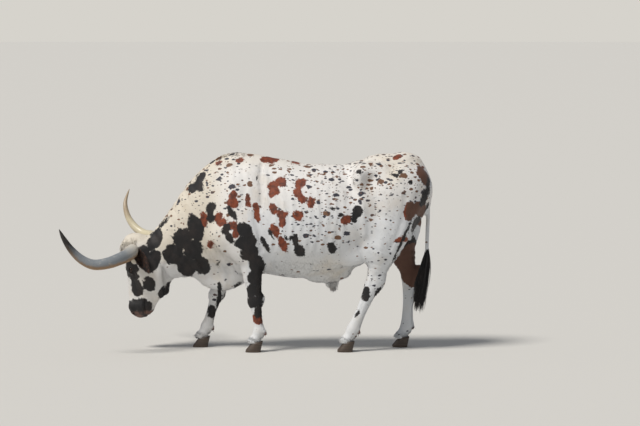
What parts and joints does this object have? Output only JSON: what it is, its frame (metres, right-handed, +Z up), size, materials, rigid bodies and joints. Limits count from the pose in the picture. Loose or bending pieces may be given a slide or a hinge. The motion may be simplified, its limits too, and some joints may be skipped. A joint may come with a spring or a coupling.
{
  "type": "texas longhorn",
  "caption": "Standing life-size longhorn with its head down to graze, one hind leg and the opposite foreleg forward, long horns sweeping out and up, and a hanging tail.",
  "frame": {"origin": "on the floor, under the middle of the box that holds the animal", "axes": "-X the way the animal faces, -Y its left side, +Z up"},
  "size_m": [2.6752, 1.3068, 1.4478],
  "materials": {
    "torso": "short fur over skin",
    "neck": "short fur over skin",
    "head": "short fur over skin",
    "horn_left": "smooth ringed horn, dark at the tip",
    "ear_left": "short fur over skin",
    "eye_left": "wet dark eye",
    "horn_right": "smooth ringed horn, dark at the tip",
    "ear_right": "short fur over skin",
    "eye_right": "wet dark eye",
    "foreleg_left": "short fur over skin",
    "foreleg_left_claw_a": "dark matt claw",
    "foreleg_left_claw_b": "dark matt claw",
    "foreleg_right": "short fur over skin",
    "foreleg_right_claw_a": "dark matt claw",
    "foreleg_right_claw_b": "dark matt claw",
    "hindleg_left": "short fur over skin",
    "hindleg_left_claw_a": "dark matt claw",
    "hindleg_left_claw_b": "dark matt claw",
    "hindleg_right": "short fur over skin",
    "hindleg_right_claw_a": "dark matt claw",
    "hindleg_right_claw_b": "dark matt claw",
    "tail": "short fur over skin",
    "tail_switch": "long coarse hair"
  },
  "bodies": {
    "root": {"torso": "torso", "neck": "neck", "head": "head", "horn_left": "horn_left", "ear_left": "ear_left", "eye_left": "eye_left", "horn_right": "horn_right", "ear_right": "ear_right", "eye_right": "eye_right", "foreleg_left": "foreleg_left", "foreleg_left_claw_a": "foreleg_left_claw_a", "foreleg_left_claw_b": "foreleg_left_claw_b", "foreleg_right": "foreleg_right", "foreleg_right_claw_a": "foreleg_right_claw_a", "foreleg_right_claw_b": "foreleg_right_claw_b", "hindleg_left": "hindleg_left", "hindleg_left_claw_a": "hindleg_left_claw_a", "hindleg_left_claw_b": "hindleg_left_claw_b", "hindleg_right": "hindleg_right", "hindleg_right_claw_a": "hindleg_right_claw_a", "hindleg_right_claw_b": "hindleg_right_claw_b", "tail": "tail", "tail_switch": "tail_switch"}
  },
  "joints": []
}
